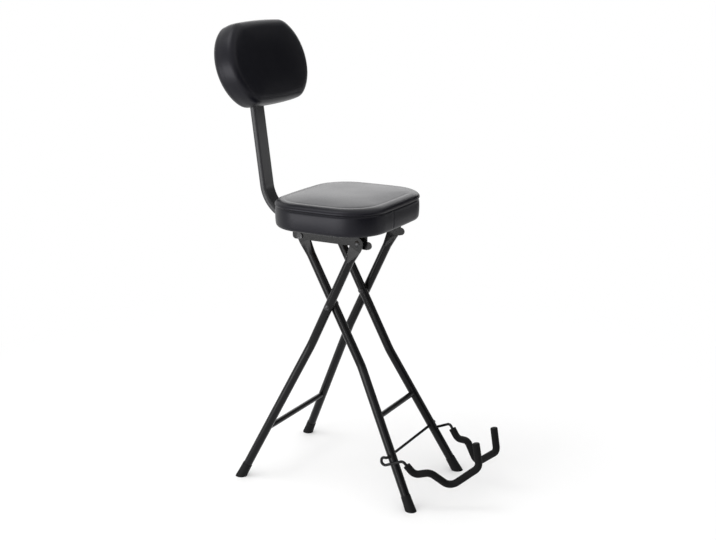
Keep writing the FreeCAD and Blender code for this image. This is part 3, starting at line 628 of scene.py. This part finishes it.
class STOOL_OT_seat(bpy.types.Operator):
    """Upholster the seat: a flat crown, a roll between two seams and a plain side below"""

    bl_idname = "stool.seat"
    bl_label = "Seat cushion"

    def execute(self, context):
        seat = context.scene.stool_seat
        half = (SEAT_HIGH - SEAT_LOW) / 2

        def outline(turn, inset):
            return outline_points(half[0] - inset, half[1] - inset, seat.bow - inset, seat.bow - inset,
                                  seat.corner - inset, turn)

        profile, fixed, seam_level = seat_profile(seat)
        crown = SEAT_HIGH[2] - SEAT_LOW[2] - seat.edge
        lip = 2 * MM
        points, faces, levels = pillow_mesh(outline, profile, GRID_CELLS, crown, lip)
        held = (levels < fixed) | (levels == seam_level) | (levels == len(profile) - 1)
        join = side_seam(points, (levels >= fixed) & (levels < seam_level), seat.join)
        points[join, 1] += seat.join_depth
        held[join] = True
        middle = (SEAT_LOW + SEAT_HIGH) / 2
        points += (middle[0], middle[1], SEAT_LOW[2])
        piece = mesh_piece("seat_cover", points, faces, "black_vinyl", "seat")
        inflate(piece, held, seat.swell, seat.pressure, seat.evening)
        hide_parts("seat_cushion")
        return {"FINISHED"}


def back_profile(back):
    """Levels of the backrest's cover from the pocket for the panel to the face's edge.

    They go round the back's edge, a large arc, along the side, and round the front's edge, a smaller one.
    Also gives the count of fixed levels.
    """
    rear_r, front_r = 21 * MM, 18 * MM
    rear_height, rear_inset = 22 * MM, 25 * MM
    side, bulge = 4 * MM, 1 * MM
    front = back.thick - 23 * MM
    profile = [(back.pocket, back.lap), (POCKET_EDGE, back.lap), (0, back.lap - POCKET_CORNER)]
    profile += [(0, rear_inset)]
    fixed = len(profile)
    profile += arc_levels((rear_height, rear_inset), rear_r, -85, -5, 9)
    profile += side_levels((rear_height + 2 * MM, side), (front, side), 5, bulge)
    profile += arc_levels((front, side + front_r), front_r, 3, 80, 11)
    return profile, fixed


class STOOL_OT_backrest(bpy.types.Operator):
    """Upholster the backrest: a soft pad whose cover wraps round to the panel in its back"""

    bl_idname = "stool.backrest"
    bl_label = "Backrest cushion"

    def execute(self, context):
        back = context.scene.stool_back

        def outline(turn, inset):
            corner = np.interp(inset, (back.tighten, back.lap), (back.corner, back.panel_corner))
            return outline_points(back.width / 2 - inset, back.height / 2 - inset, back.top_bow - inset,
                                  back.end_bow - inset, corner, turn)

        profile, fixed = back_profile(back)
        crown = back.thick - profile[-1][0]
        lip = 1 * MM
        points, faces, levels = pillow_mesh(outline, profile, GRID_CELLS, crown, lip)
        up = np.array([0, math.sin(back.lean), math.cos(back.lean)])
        forward = np.array([0, -up[2], up[1]])
        base = (PANEL_LOW + PANEL_HIGH) / 2 - forward * back.panel / 2
        points = base + points @ np.stack([np.array([1, 0, 0]), up, forward])
        piece = mesh_piece("backrest_cover", points, faces, "black_vinyl", "backrest")
        held = (levels < fixed) | (levels == len(profile) - 1)
        inflate(piece, held, back.swell, back.pressure, back.evening)
        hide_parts("backrest_cushion")
        return {"FINISHED"}


class STOOL_OT_finishes(bpy.types.Operator):
    """Give every CAD node its finish"""

    bl_idname = "stool.finishes"
    bl_label = "Finishes"

    def execute(self, context):
        slots = {row["node"]: row["material_slot"] for row in frame["record"]["subparts"]}
        for name, node in frame["nodes"].items():
            node.data.materials.clear()
            node.data.materials.append(finish_of(slots[name], name))
        return {"FINISHED"}


class STOOL_OT_stage(bpy.types.Operator):
    """Lay the floor, light the studio and set the camera"""

    bl_idname = "stool.stage"
    bl_label = "Studio"

    def execute(self, context):
        studio = context.scene.stool_studio
        lay_floor(studio.floor, studio.veil, studio.clearing)
        light_studio(studio.ambient)
        set_camera(studio.eye, studio.target, studio.lens)
        context.scene.view_settings.view_transform = "Standard"
        return {"FINISHED"}


def seen_directly(m):
    """1 for rays that show the studio itself: to the camera, in a reflection or through glass."""
    rays = [m.node("ShaderNodeLightPath", out=name)
            for name in ("Is Camera Ray", "Is Glossy Ray", "Is Transmission Ray")]
    return m.math("MINIMUM", rays[0] + rays[1] + rays[2], 1.0)


def rectangle(name, width, height):
    """A flat mesh about the origin."""
    x, y = width / 2, height / 2
    mesh = bpy.data.meshes.new(name)
    mesh.from_pydata([(-x, -y, 0), (x, -y, 0), (x, y, 0), (-x, y, 0)], [], [(0, 1, 2, 3)])
    return mesh


def lay_floor(half, veil, clearing):
    """A wide white floor that takes soft shadows near the stool and fades to a plain white round it."""
    mesh = rectangle("floor", 2 * half, 2 * half)
    floor = bpy.data.objects.new("floor", mesh)
    bpy.context.scene.collection.objects.link(floor)
    material = bpy.data.materials.new("white_floor")
    m = Maker(material)
    paint = m.node("ShaderNodeBsdfDiffuse", None, {"Color": FLOOR_WHITE})
    white = m.node("ShaderNodeEmission", None, {"Color": (1, 1, 1, 1), "Strength": 1.0})
    away = m.node("ShaderNodeVectorMath", {"operation": "LENGTH"}, {0: m.here()}, "Value")
    span = {"Value": away, "From Min": FADE_START * clearing, "From Max": clearing,
            "To Min": veil, "To Max": 1.0}
    fade = m.node("ShaderNodeMapRange", {"interpolation_type": "SMOOTHSTEP"}, span)
    mixed = m.node("ShaderNodeMixShader", None, {0: seen_directly(m) * fade, 1: paint, 2: white})
    m.node("ShaderNodeOutputMaterial", None, {"Surface": mixed})
    mesh.materials.append(material)


def aim(thing, place, target):
    """Puts a lamp, card or camera at a place, with its -Z axis to a target."""
    thing.location = place
    thing.rotation_mode = "QUATERNION"
    thing.rotation_quaternion = (Vector(target) - Vector(place)).to_track_quat("-Z", "Y")
    bpy.context.scene.collection.objects.link(thing)


def softbox(name, place, target, width, height, brightness):
    """A soft rectangular lamp. Its brightness is what a mirror would show, 1 being white."""
    data = bpy.data.lights.new(name, "AREA")
    data.shape = "RECTANGLE"
    data.size, data.size_y = width, height
    data.energy = brightness * math.pi * width * height
    lamp = bpy.data.objects.new(name, data)
    aim(lamp, place, target)
    lamp.visible_camera = False


def dark_card(name, place, target, width, height, grey):
    """A dark card beside the set, for the dark faces to reflect. It throws no shadow."""
    mesh = rectangle(name, width, height)
    material = bpy.data.materials.new(name)
    m = Maker(material)
    black = m.node("ShaderNodeBsdfDiffuse", None, {"Color": (grey, grey, grey, 1)})
    m.node("ShaderNodeOutputMaterial", None, {"Surface": black})
    mesh.materials.append(material)
    card = bpy.data.objects.new(name, mesh)
    aim(card, place, target)
    card.visible_camera = card.visible_diffuse = card.visible_shadow = False


def light_studio(ambient):
    """A white room with its soft lamps and its dark cards: two in front on the far side, one on the near."""
    world = bpy.data.worlds.new("studio")
    bpy.context.scene.world = world
    m = Maker(world)
    strength = ambient + (1 - ambient) * seen_directly(m)
    background = m.node("ShaderNodeBackground", None, {"Color": (1, 1, 1, 1), "Strength": strength})
    m.node("ShaderNodeOutputWorld", None, {"Surface": background})
    for lamp in LAMPS:
        softbox(*lamp)
    for card in CARDS:
        dark_card(*card)


def set_camera(eye, target, lens):
    """The camera at the photograph's place."""
    data = bpy.data.cameras.new("camera")
    data.lens = lens
    data.sensor_width = 36
    camera = bpy.data.objects.new("camera", data)
    aim(camera, eye, target)
    bpy.context.scene.camera = camera


class STOOL_PT_panel(bpy.types.Panel):
    """Lists the stool's operators"""

    bl_idname = "STOOL_PT_panel"
    bl_label = "Folding stool"
    bl_space_type = "VIEW_3D"
    bl_region_type = "UI"
    bl_category = "Stool"

    def draw(self, context):
        for operator in OPERATORS:
            self.layout.operator(operator.bl_idname)


SETTINGS = {
    "stool_seat": SeatPadding,
    "stool_back": BackPadding,
    "stool_finishes": Finishes,
    "stool_studio": Studio,
}
OPERATORS = (STOOL_OT_finishes, STOOL_OT_seat, STOOL_OT_backrest, STOOL_OT_stage)


def register():
    for kind in (*SETTINGS.values(), *OPERATORS, STOOL_PT_panel):
        bpy.utils.register_class(kind)
    for name, kind in SETTINGS.items():
        setattr(bpy.types.Scene, name, bpy.props.PointerProperty(type=kind))


def unregister():
    for name in SETTINGS:
        delattr(bpy.types.Scene, name)
    for kind in (STOOL_PT_panel, *reversed(OPERATORS), *reversed(SETTINGS.values())):
        bpy.utils.unregister_class(kind)


def main():
    register()
    bpy.ops.stool.finishes()
    bpy.ops.stool.seat()
    bpy.ops.stool.backrest()
    bpy.ops.stool.stage()


if __name__ == "__main__":
    main()
